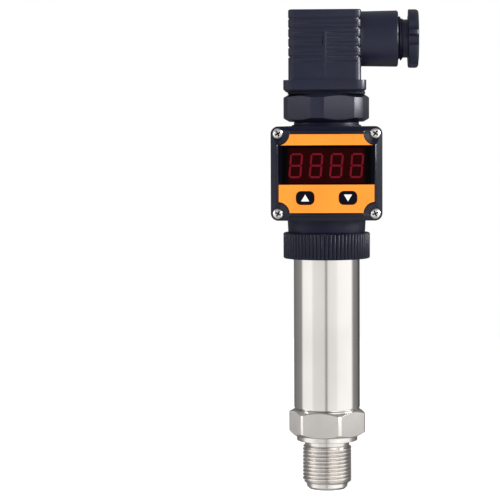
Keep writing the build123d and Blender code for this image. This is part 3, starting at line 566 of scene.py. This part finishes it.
class TRANSMITTER_OT_fitting(bpy.types.Operator):
    """Hexagon, sealing collar and threaded stem, turned in one piece"""
    bl_idname = "transmitter.fitting"
    bl_label = "Process fitting"

    def execute(self, context):
        sizes = context.scene.transmitter_sizes
        apothem = sizes.hex_flats / 2
        corner_r, corner_drop = 15.8 * MM, 1.5 * MM
        hex_z, hex_top = 2.05 * MM, 12.95 * MM
        corner_angle, turn = radians(30), radians(-11.0)
        end_r = corner_r - corner_drop / tan(corner_angle)
        # Angles with a sample on each edge of the turned-down corners
        half = acos(apothem / corner_r)
        side = 22
        angles = []
        for flat in range(6):
            middle = turn + radians(60 * flat + 30)
            angles.append(middle - radians(30))
            angles += [middle - half + 2 * half * i / side for i in range(side + 1)]

        def edge_ring(end_z, way):
            """Ring along the turned-down corners at one end of the hexagon."""
            ring = []
            for a in angles:
                off = (a - turn) % radians(60) - radians(30)
                r = min(corner_r, apothem / cos(off))
                z = end_z + way * (r - end_r) * tan(corner_angle)
                ring.append((r * cos(a), r * sin(a), z))
            return ring

        tip_z = FITTING_LOW[2]
        top_z = FITTING_HIGH[2]
        thread_top = -1.8 * MM
        thread_low = thread_top - sizes.thread_len
        core_r = sizes.thread_r - sizes.thread_depth
        pilot_r, port_r, undercut_r = 8.35 * MM, 3.0 * MM, 9.1 * MM
        collar_r, spigot_r = 12.45 * MM, 11.95 * MM
        chamber_r, chamber_z = 9.6 * MM, 4.0 * MM
        groove_r, groove_in, groove_z = 8.0 * MM, 6.0 * MM, 2.4 * MM
        # Profile of (radius, height) points: down the port's wall, round the tip to the thread's
        # foot,
        below = [
            (port_r, chamber_z),
            (port_r, tip_z + 0.4 * MM),
            (port_r + 0.4 * MM, tip_z),
            (pilot_r - 1.0 * MM, tip_z),
            (pilot_r, tip_z + 1.0 * MM),
            (pilot_r, thread_low),
            (core_r, thread_low),
        ]
        # from the thread's top over the sealing collar to the hexagon,
        above = [
            (core_r, thread_top),
            (undercut_r, thread_top + 0.05 * MM),
            (undercut_r, -0.3 * MM),
            (undercut_r + 0.3 * MM, 0.0),
            (collar_r - 0.2 * MM, 0.0),
            (collar_r, 0.2 * MM),
            (collar_r, hex_z),
            (end_r, hex_z),
        ]
        # and from the hexagon over the spigot down to the cell's seat with its seal groove
        inside = [
            (end_r, hex_top),
            (spigot_r, hex_top),
            (spigot_r, top_z),
            (chamber_r, top_z),
            (chamber_r, chamber_z),
            (groove_r, chamber_z),
            (groove_r, groove_z),
            (groove_in, groove_z),
            (groove_in, chamber_z),
            (port_r, chamber_z),
        ]
        bm = bmesh.new()
        lay(bm, [circle(r, z, angles) for r, z in below])
        rows = thread_rows(
            sizes.thread_r, core_r, sizes.thread_pitch, thread_low, thread_top, angles
        )
        lay(bm, rows, open_rings=True)
        rings = [circle(r, z, angles) for r, z in above]
        rings += [edge_ring(hex_z, 1), edge_ring(hex_top, -1)]
        rings += [circle(r, z, angles) for r, z in inside]
        lay(bm, rings)
        close(bm)
        soften(bm, sizes.metal_edge, 25.0, hex_z + 0.1 * MM, hex_top + 0.1 * MM)
        # The flats get the milled finish, and their rounded edges stay turned
        for face in bm.faces:
            middle, normal = face.calc_center_median(), face.normal
            off = (atan2(normal.y, normal.x) - turn) % radians(60) - radians(30)
            upright = abs(normal.z) < 0.1 and hex_z < middle.z < hex_top
            face.material_index = 1 if upright and abs(off) < radians(2) else 0
        piece(
            "threaded_fitting", bm, "sensor", "stainless", ["process_fitting"],
            stainless_turned(), stainless_milled(), sharp=25.0,
        )
        return {"FINISHED"}


class TRANSMITTER_OT_tube(bpy.types.Operator):
    """Polished tube with a rounded foot and the flange for the union ring"""
    bl_idname = "transmitter.tube"
    bl_label = "Housing tube"

    def execute(self, context):
        low, high = TUBE_LOW[2], TUBE_HIGH[2]
        r, bore, flange_r = 13.5 * MM, 12.0 * MM, TUBE_HIGH[0]
        flange_z, flange_top = RING_LOW[2] + 3.1 * MM, RING_LOW[2] + 4.6 * MM
        angles = [2 * pi * i / 192 for i in range(192)]
        profile = rounded(
            [
                (bore, low),
                (r - 0.9 * MM, low),
                (r - 0.35 * MM, low + 0.15 * MM),
                (r, low + 0.9 * MM),
                (r, flange_z),
                (flange_r, flange_z),
                (flange_r, flange_top),
                (r, flange_top),
                (r, high),
                (bore, high),
                (bore, low),
            ],
            0.25 * MM,
        )
        bm = close(turned(profile, angles))
        piece("polished_tube", bm, "sensor", "stainless", ["housing_tube"], stainless_polished())
        return {"FINISHED"}


class TRANSMITTER_OT_union_ring(bpy.types.Operator):
    """Union ring with rounded upright ribs"""
    bl_idname = "transmitter.union_ring"
    bl_label = "Union ring"

    def execute(self, context):
        sizes = context.scene.transmitter_sizes
        count = sizes.rib_count
        samples = 10
        angles = [2 * pi * i / (count * samples) for i in range(count * samples)]
        # A hair under the CAD ring's radius, so that no rib leaves the faceted CAD box
        low, high, r = RING_LOW[2], RING_HIGH[2], 17.69 * MM
        floor_z = low + 2.5 * MM
        lip, bore = 13.6 * MM, 15.5 * MM

        def ribs(radius, height, depth):
            """Ring with a rounded wave for each rib."""
            ring = []
            for a in angles:
                wave = abs(cos(a * count / 2))
                at = radius - depth * (1.0 - wave ** 0.8)
                ring.append((at * cos(a), at * sin(a), height))
            return ring

        depth, edge = sizes.rib_depth, 0.45 * MM
        rings = [
            circle(lip, low + 0.2 * MM, angles),
            circle(lip + 0.2 * MM, low, angles),
            ribs(r - edge, low, 0.35 * depth),
            ribs(r - 0.15 * MM, low + 0.5 * edge, 0.8 * depth),
            ribs(r, low + edge, depth),
            ribs(r, high - edge, depth),
            ribs(r - 0.15 * MM, high - 0.5 * edge, 0.8 * depth),
            ribs(r - edge, high, 0.35 * depth),
            circle(bore + 0.2 * MM, high, angles),
            circle(bore, high - 0.2 * MM, angles),
            circle(bore, floor_z, angles),
            circle(lip, floor_z, angles),
        ]
        bm = bmesh.new()
        lay(bm, rings, looped=True)
        close(bm)
        piece(
            "ribbed_ring", bm, "union_ring", "black_plastic", ["union_ring"],
            nylon_ring_painted_shade(), sharp=40.0,
        )
        return {"FINISHED"}


class TRANSMITTER_OT_display_head(bpy.types.Operator):
    """Housing, gasket and bezel of the display"""
    bl_idname = "transmitter.display_head"
    bl_label = "Display head"

    def execute(self, context):
        sizes = context.scene.transmitter_sizes
        housing = soften(cast("display_housing"), sizes.plastic_edge)
        piece(
            "head_moulding", housing, "head", "black_plastic", ["display_housing"], abs_moulded()
        )
        bezel = soften(cast("front_bezel"), 1.2 * sizes.plastic_edge)
        piece("bezel_moulding", bezel, "head", "black_plastic", ["front_bezel"], abs_polished())
        dress("bezel_gasket", nitrile())
        return {"FINISHED"}


class TRANSMITTER_OT_screws(bpy.types.Operator):
    """Four bezel screws with tapered cross recesses"""
    bl_idname = "transmitter.screws"
    bl_label = "Bezel screws"

    def execute(self, context):
        head_r, shank_r = 2.15 * MM, 1.2 * MM
        # Along the screw: the seat of its head, the top of its head and its tip
        seat, top, tip = 22.0 * MM, -SCREWS_LOW[1], -SCREWS_HIGH[1]
        middle_x = (SCREWS_LOW[0] + SCREWS_HIGH[0]) / 2
        middle_z = (SCREWS_LOW[2] + SCREWS_HIGH[2]) / 2
        dx = SCREWS_HIGH[0] - head_r - middle_x
        dz = SCREWS_HIGH[2] - head_r - middle_z

        def cross(arm, width, height):
            """Ring along a cross with arms of a length and half width."""
            quarter = [(arm, -width), (arm, width), (width, width)]
            corners = []
            for turn in range(4):
                c, s = round(cos(turn * pi / 2)), round(sin(turn * pi / 2))
                corners += [(x * c - y * s, x * s + y * c) for x, y in quarter]
            ring = []
            for a, b in zip(corners, corners[1:] + corners[:1]):
                for i in range(4):
                    t = i / 4
                    ring.append((a[0] + (b[0] - a[0]) * t, a[1] + (b[1] - a[1]) * t, height))
            return ring

        recess = [
            cross(1.25 * MM, 0.3 * MM, top),
            cross(1.05 * MM, 0.26 * MM, top - 0.7 * MM),
            cross(0.6 * MM, 0.2 * MM, top - 1.3 * MM),
        ]
        angles = [atan2(y, x) for x, y, z in recess[0]]
        head = [
            (0.0, tip),
            (shank_r - 0.3 * MM, tip),
            (shank_r, tip + 0.3 * MM),
            (shank_r, seat),
            (head_r - 0.1 * MM, seat),
            (head_r, seat + 0.1 * MM),
            (head_r, seat + 0.55 * MM),
            (head_r - 0.12 * MM, seat + 0.95 * MM),
            (head_r - 0.4 * MM, seat + 1.3 * MM),
            (head_r - 0.8 * MM, top),
        ]
        rings = [circle(r, z, angles) for r, z in head] + recess
        rings.append([(0.0, 0.0, top - 1.5 * MM)] * len(angles))
        one = bmesh.new()
        lay(one, rings)
        close(one)
        # Faces sunk into the cross recess get the near-black painted shade
        for face in one.faces:
            middle = face.calc_center_median()
            inner = middle.to_2d().length < 1.4 * MM and middle.z > seat
            sunk = face.normal.z < 0.9 or middle.z < top - 0.1 * MM
            face.material_index = 1 if inner and sunk else 0
        face_out = Matrix.Rotation(pi / 2, 4, "X")
        every = bmesh.new()
        # Turn of each screw's cross as it was tightened, by its corner of the bezel
        turns = {(-1, 1): 28.0, (1, 1): 52.0, (-1, -1): 63.0, (1, -1): 22.0}
        for (sx, sz), degrees in turns.items():
            place = Matrix.Translation((middle_x + sx * dx, 0.0, middle_z + sz * dz))
            spin = Matrix.Rotation(radians(degrees), 4, "Z")
            copy = one.copy()
            copy.transform(place @ face_out @ spin)
            mesh = bpy.data.meshes.new("screw")
            copy.to_mesh(mesh)
            copy.free()
            every.from_mesh(mesh)
            bpy.data.meshes.remove(mesh)
        one.free()
        piece(
            "cross_screws", every, "head", "screw_steel", ["bezel_screws"],
            steel_plated(), recess_painted_shade(),
        )
        return {"FINISHED"}


class TRANSMITTER_OT_face(bpy.types.Operator):
    """Printed film, red window, digits and the two keys with their arrows"""
    bl_idname = "transmitter.face"
    bl_label = "Display face"

    def execute(self, context):
        sizes = context.scene.transmitter_sizes
        dress("face_film", polyester_film())
        dress("display_window", acrylic_red())
        dress("led_module", resin_case())
        digits = cast("digit_segments")
        for shell in shells(digits):
            xs = [vert.co.x for face in shell for vert in face.verts]
            zs = [vert.co.z for face in shell for vert in face.verts]
            # The decimal points are the only bars under 2 mm
            point = max(max(xs) - min(xs), max(zs) - min(zs)) < 2.0 * MM
            for face in shell:
                face.material_index = 1 if point else 0
        piece(
            "digit_bars", digits, "head", "red_segments", ["digit_segments"],
            resin_red_lit(), resin_red_dark(),
        )
        for node, way in (("up_key", 1), ("down_key", -1)):
            cap = cast(node)
            low, high = node_box(node)
            front = low[1]
            # The cap's front is set back a little, so that the arrow stands on it
            for vert in cap.verts:
                if vert.co.y < front + 0.01 * MM:
                    vert.co.y += 0.04 * MM
            close(cap)
            piece(node + "_cap", cap, node, "black_plastic", [node], silicone_black())
            x, z = (low[0] + high[0]) / 2, (low[2] + high[2]) / 2
            half, rise = sizes.mark_w / 2, sizes.mark_h / 2
            outline = [(-half, -rise), (half, -rise), (0.0, rise)]
            mark = bmesh.new()
            back = front + 0.06 * MM
            rings = [[(x, back, z)] * 3]
            for inset, y in ((0.0, back), (0.0, front + 0.01 * MM), (0.05 * MM, front)):
                grow = 1 - inset / rise
                rings.append([(x + a * grow, y, z + way * b * grow) for a, b in outline])
            rings.append([(x, front, z)] * 3)
            lay(mark, rings)
            close(mark)
            piece(node + "_arrow", mark, node, "white_plastic", [], ink_white())
        return {"FINISHED"}


class TRANSMITTER_OT_plug(bpy.types.Operator):
    """Hexagonal plug base, gasket and ribbed hood"""
    bl_idname = "transmitter.plug"
    bl_label = "Plug"

    def execute(self, context):
        sizes = context.scene.transmitter_sizes
        base = soften(cast("plug_base"), 0.7 * sizes.plastic_edge, 20.0)
        piece(
            "hex_base", base, "head", "black_plastic", ["plug_base"],
            nylon_moulded(), sharp=25.0,
        )
        hood = soften(cast("plug_hood"), 0.5 * sizes.plastic_edge)
        piece("ribbed_hood", hood, "head", "black_plastic", ["plug_hood"], nylon_moulded())
        dress("plug_gasket", nitrile())
        return {"FINISHED"}


class TRANSMITTER_OT_gland(bpy.types.Operator):
    """Gland nut with its thread, and the washer and seal inside"""
    bl_idname = "transmitter.gland"
    bl_label = "Cable gland"

    def execute(self, context):
        sizes = context.scene.transmitter_sizes
        nose, thread_end, head_x, end = NUT_LOW[0], 30.9 * MM, 33.2 * MM, NUT_HIGH[0]
        crest_r, core_r, shank_r, cable_r = 9.0 * MM, 8.1 * MM, 7.75 * MM, 4.6 * MM
        head_r, flute_r, mouth_r, edge = 12.0 * MM, 2.4 * MM, 10.2 * MM, 1.1 * MM
        mouth_floor, pitch = end - 1.2 * MM, 1.5 * MM
        centre = head_r + flute_r - sizes.flute_depth
        turn = radians(4.0)

        # Samples round the head: 13 in each flute of a pair, 2 between the two, 7 up to the next
        step, pair = 2 * pi / sizes.flute_pairs, radians(30.0)
        half = acos((head_r ** 2 + centre ** 2 - flute_r ** 2) / (2 * head_r * centre))
        flute = [-half + 2 * half * i / 12 for i in range(13)]
        offsets = [off - pair for off in flute] + flute
        offsets += [(2 * half - pair) * i / 3 - half for i in (1, 2)]
        offsets += [half + (step - pair - 2 * half) * i / 8 for i in range(1, 8)]
        angles = [
            turn + group * step + off
            for group in range(sizes.flute_pairs)
            for off in sorted(offsets)
        ]

        def fluted(radius, height):
            """Ring with the flutes cut in."""
            ring = []
            for a in angles:
                off = min(
                    ((a - turn + shift + step / 2) % step - step / 2 for shift in (0.0, pair)),
                    key=abs,
                )
                reach = head_r
                if abs(off) < half:
                    reach = centre * cos(off) - sqrt(flute_r ** 2 - (centre * sin(off)) ** 2)
                r = min(radius, reach)
                ring.append((r * cos(a), r * sin(a), height))
            return ring

        bm = bmesh.new()
        lay(bm, [circle(cable_r, nose, angles), circle(core_r, nose, angles)])
        rows = thread_rows(crest_r, core_r, pitch, nose, thread_end, angles)
        lay(bm, rows, open_rings=True)
        rings = [
            circle(core_r, thread_end, angles),
            circle(shank_r, thread_end + 0.2 * MM, angles),
            circle(shank_r, head_x - 0.2 * MM, angles),
            circle(shank_r + 0.2 * MM, head_x, angles),
            fluted(head_r - 0.4 * MM, head_x),
            fluted(head_r - 0.1 * MM, head_x + 0.1 * MM),
            fluted(head_r, head_x + 0.4 * MM),
            fluted(head_r, end - edge),
            fluted(head_r - 0.12 * edge, end - 0.6 * edge),
            fluted(head_r - 0.45 * edge, end - 0.22 * edge),
            fluted(head_r - 0.9 * edge, end),
            circle(mouth_r, end, angles),
            circle(mouth_r, mouth_floor, angles),
            circle(cable_r + 0.3 * MM, end - 2.7 * MM, angles),
            circle(cable_r, end - 3.1 * MM, angles),
            circle(cable_r, nose, angles),
        ]
        lay(bm, rings)
        close(bm)
        along = Matrix.Translation((0.0, 0.0, GLAND_Z)) @ Matrix.Rotation(pi / 2, 4, "Y")
        bm.transform(along)
        piece("fluted_nut", bm, "gland_nut", "black_plastic", ["gland_nut"], nylon_moulded())
        dress("gland_seal", nitrile())
        dress("gland_washer", natural_nylon())
        return {"FINISHED"}


class TRANSMITTER_OT_inside(bpy.types.Operator):
    """Finishes of the pieces that are inside"""
    bl_idname = "transmitter.inside"
    bl_label = "Inner pieces"

    def execute(self, context):
        board = plain_finish("glass_epoxy_board", "1F5A33", 0.3, 0.45, 0.6, 0.01, 1.55)
        brass = plain_finish("brass_stamped", "D9B26A", 0.2, 0.35, 0.3, 0.004, metallic=1.0)
        case = plain_finish("epoxy_black", "1B1B1D", 0.45, 0.6, 0.15, 0.006)
        finishes = {
            "cell_seal": nitrile(),
            "swivel_seal": nitrile(),
            "neck_seal": nitrile(),
            "pressure_cell": plain_finish("alumina_fired", "E9E6DD", 0.45, 0.6, 0.1, 0.004, 1.76),
            "cell_retainer": stainless_turned(),
            "board_carrier": plain_finish(
                "polycarbonate_grey", "6E7074", 0.35, 0.5, 0.3, 0.006, 1.58
            ),
            "amplifier_board": board,
            "display_board": board,
            "amplifier_chips": case,
            "up_switch": case,
            "down_switch": case,
            "signal_lead": plain_finish("pvc_grey", "8A8C8E", 0.4, 0.55, 0.4, 0.006, 1.54),
            "slip_washer": natural_nylon(),
            "contact_blades": brass,
            "contact_sockets": brass,
            "plug_nut": brass,
            "plug_insert": plain_finish("polyamide_grey", "54565B", 0.4, 0.55, 0.3, 0.008, 1.53),
            "terminal_screws": steel_plated(),
            "plug_screw": steel_plated(),
        }
        for node, material in finishes.items():
            dress(node, material)
        return {"FINISHED"}


# The stage

# Grey of the studio round the transmitter: (azimuth in degrees, grey), with 0 towards the camera
# and 90 on its right. Three lists for three heights of direction: what the steel mirrors, what
# the display mirrors, with the lens and its black flag in the middle, and what the plug
# mirrors, with a bright panel on the right.
STEEL_BANDS = [
    (-180, 0.04), (-150, 0.05), (-100, 0.09), (-93, 0.31), (-56, 0.33), (-48, 0.26), (-8, 0.25),
    (-5, 0.14), (-4, 0.1), (0.5, 0.1), (2, 0.2), (4, 0.27), (34, 0.29), (40, 0.335),
    (60, 0.345), (96, 0.35), (102, 0.15), (108, 0.08), (132, 0.06), (146, 0.02), (180, 0.04),
]
DISPLAY_BANDS = [
    (-180, 0.04), (-150, 0.05), (-100, 0.09), (-93, 0.31), (-56, 0.33), (-48, 0.26), (-10, 0.2),
    (-7, 0.012), (7, 0.012), (10, 0.27), (34, 0.29), (40, 0.335), (96, 0.35), (102, 0.15),
    (108, 0.08), (132, 0.06), (146, 0.02), (180, 0.04),
]
PLUG_BANDS = [
    (-180, 0.04), (-150, 0.05), (-104, 0.09), (-93, 0.25), (-56, 0.25), (-30, 0.2), (-10, 0.14),
    (-7, 0.012), (7, 0.012), (11, 0.4), (17, 0.8), (50, 0.8), (58, 0.25), (96, 0.2),
    (104, 0.14), (130, 0.14), (150, 0.06), (180, 0.04),
]

# Where one colour gives way to the next, by the Z of the direction: (start, end) of the change
DISPLAY_FROM = (-0.044, -0.034)
PLUG_FROM = (-0.006, 0.003)
CEILING_FROM, CEILING = (0.3, 0.75), (0.1, 0.1, 0.105, 1.0)
GROUND_FROM, GROUND = (-0.6, -0.95), (0.12, 0.12, 0.122, 1.0)
STUDIO_STRENGTH = 4.0

# A key light high on the right; panels that only make reflections, one for the right edges of
# the plug and one for the hexagon; a wash from the front that makes none. Each has: name, lights
# surfaces, shows in reflections, watts, spread in degrees, size, place, height it aims at.
LIGHTS = [
    ("key", True, True, 0.4, 180, (0.5, 0.6), (0.75, -0.45, 0.55), 0.09),
    ("side_panel", False, True, 0.6, 40, (0.3, 0.34), (0.42, -0.02, 0.29), 0.2),
    ("wash", True, False, 2.7, 180, (0.4, 0.4), (-0.35, -0.75, 0.4), 0.1),
    ("low_panel", False, True, 0.06, 24, (0.1, 0.1), (-0.5, -0.09, 0.18), 0.0),
]

# The camera of the photograph: focal length and sensor in mm, place in metres, tilt down, roll
# and turn in degrees
LENS, SENSOR = 146.9, 36.0
CAMERA_PLACE = (0.0, -0.835, 0.1282)
CAMERA_TILT, CAMERA_ROLL, CAMERA_TURN = 3.42, 0.25, 2.1414


def lay_floor(context):
    """Pale floor under the transmitter, lit like a light table."""
    angles = [2 * pi * i / 96 for i in range(96)]
    bm = bmesh.new()
    lay(bm, [circle(r, FITTING_LOW[2], angles) for r in (0.0, 0.05, 0.2, 0.6)])
    close(bm)
    mesh = bpy.data.meshes.new("floor")
    bm.to_mesh(mesh)
    bm.free()
    mesh.shade_smooth()
    floor = bpy.data.objects.new("floor", mesh)
    context.collection.objects.link(floor)
    material, tree, shader = surface("paper_matt", ior=1.5)
    wear(tree, shader, context.scene.transmitter_colours.floor, 0.7, 0.85, 1.0, 90.0, 0.01)
    shader.inputs["Emission Color"].default_value = (1.0, 1.0, 1.0, 1.0)
    shader.inputs["Emission Strength"].default_value = 0.6
    mesh.materials.append(material)
    # It shines evenly, and neither lights the transmitter nor shows in its reflections
    floor.visible_glossy = False
    floor.visible_diffuse = False


def surround(context):
    """Studio surroundings by direction; the camera itself sees plain white."""
    world = bpy.data.worlds.new("studio")
    context.scene.world = world
    world.use_nodes = True
    tree = world.node_tree
    tree.nodes.clear()
    way = put(tree, "TexCoord").outputs["Generated"]
    parts = put(tree, "SeparateXYZ", {"Vector": way})
    toward = put(tree, "Math", {0: parts.outputs["Y"], 1: -1.0}, operation="MULTIPLY")
    azimuth = put(tree, "Math", {0: parts.outputs["X"], 1: toward.outputs[0]}, operation="ARCTAN2")
    place = put(tree, "MapRange", {"Value": azimuth.outputs[0], "From Min": -pi, "From Max": pi})
    steel, display, plug = [
        ramp(
            put(tree, "ValToRGB", {"Fac": place.outputs["Result"]}),
            [((degrees + 180) / 360, value) for degrees, value in bands],
        )
        for bands in (STEEL_BANDS, DISPLAY_BANDS, PLUG_BANDS)
    ]
    around = steel
    for (start, end), colour in (
        (DISPLAY_FROM, display), (PLUG_FROM, plug), (CEILING_FROM, CEILING), (GROUND_FROM, GROUND),
    ):
        share = put(
            tree,
            "MapRange",
            {"Value": parts.outputs["Z"], "From Min": start, "From Max": end},
            interpolation_type="SMOOTHSTEP",
        )
        mix = put(
            tree,
            "Mix",
            {"Factor": share.outputs["Result"], "A": around, "B": colour},
            data_type="RGBA",
        )
        around = mix.outputs["Result"]
    lit = put(tree, "Background", {"Color": around, "Strength": STUDIO_STRENGTH})
    plain = put(tree, "Background", {"Color": (1.0, 1.0, 1.0, 1.0), "Strength": 1.0})
    seen = put(tree, "LightPath").outputs["Is Camera Ray"]
    mixed = put(tree, "MixShader", {"Fac": seen, 1: lit.outputs[0], 2: plain.outputs[0]})
    put(tree, "OutputWorld", {"Surface": mixed.outputs[0]})


def hang_lights(context):
    """The key light, the wash and the panels."""
    for name, diffuse, glossy, energy, spread, (width, height), place, target_z in LIGHTS:
        light = bpy.data.lights.new(name, "AREA")
        light.shape = "RECTANGLE"
        light.size, light.size_y = width, height
        light.energy = energy
        light.spread = radians(spread)
        lamp = bpy.data.objects.new(name, light)
        lamp.visible_diffuse, lamp.visible_glossy = diffuse, glossy
        lamp.location = place
        aim = Vector((0.0, 0.0, target_z)) - lamp.location
        lamp.rotation_euler = aim.to_track_quat("-Z", "Z").to_euler()
        context.collection.objects.link(lamp)


def set_camera(context):
    """Camera at the photograph's angle."""
    camera = bpy.data.cameras.new("camera")
    camera.lens = LENS
    camera.sensor_width = SENSOR
    camera.clip_start = 0.01
    eye = bpy.data.objects.new("camera", camera)
    eye.location = CAMERA_PLACE
    eye.rotation_euler = (
        radians(90.0 - CAMERA_TILT), radians(CAMERA_ROLL), radians(CAMERA_TURN)
    )
    context.collection.objects.link(eye)
    context.scene.camera = eye
    context.scene.view_settings.view_transform = "Standard"


class TRANSMITTER_OT_stage(bpy.types.Operator):
    """Floor, studio light and the camera"""
    bl_idname = "transmitter.stage"
    bl_label = "Stage"

    def execute(self, context):
        lay_floor(context)
        surround(context)
        hang_lights(context)
        set_camera(context)
        return {"FINISHED"}


OPERATORS = (
    TRANSMITTER_OT_fitting,
    TRANSMITTER_OT_tube,
    TRANSMITTER_OT_union_ring,
    TRANSMITTER_OT_display_head,
    TRANSMITTER_OT_screws,
    TRANSMITTER_OT_face,
    TRANSMITTER_OT_plug,
    TRANSMITTER_OT_gland,
    TRANSMITTER_OT_inside,
    TRANSMITTER_OT_stage,
)


class TRANSMITTER_PT_panel(bpy.types.Panel):
    """Sizes, colours and operators of the transmitter"""
    bl_idname = "TRANSMITTER_PT_panel"
    bl_label = "Pressure transmitter"
    bl_space_type = "VIEW_3D"
    bl_region_type = "UI"
    bl_category = "Transmitter"

    def draw(self, context):
        for group in (context.scene.transmitter_sizes, context.scene.transmitter_colours):
            box = self.layout.box()
            for name in group.__annotations__:
                box.prop(group, name)
        for operator in OPERATORS:
            self.layout.operator(operator.bl_idname)


CLASSES = (TransmitterSizes, TransmitterColours) + OPERATORS + (TRANSMITTER_PT_panel,)


def register():
    for kind in CLASSES:
        bpy.utils.register_class(kind)
    bpy.types.Scene.transmitter_sizes = PointerProperty(type=TransmitterSizes)
    bpy.types.Scene.transmitter_colours = PointerProperty(type=TransmitterColours)


def unregister():
    del bpy.types.Scene.transmitter_colours
    del bpy.types.Scene.transmitter_sizes
    for kind in reversed(CLASSES):
        bpy.utils.unregister_class(kind)


def main():
    register()
    for operator in OPERATORS:
        group, name = operator.bl_idname.split(".")
        done = getattr(getattr(bpy.ops, group), name)()
        if done != {"FINISHED"}:
            raise RuntimeError(operator.bl_label + " was not made")


if __name__ == "__main__":
    main()
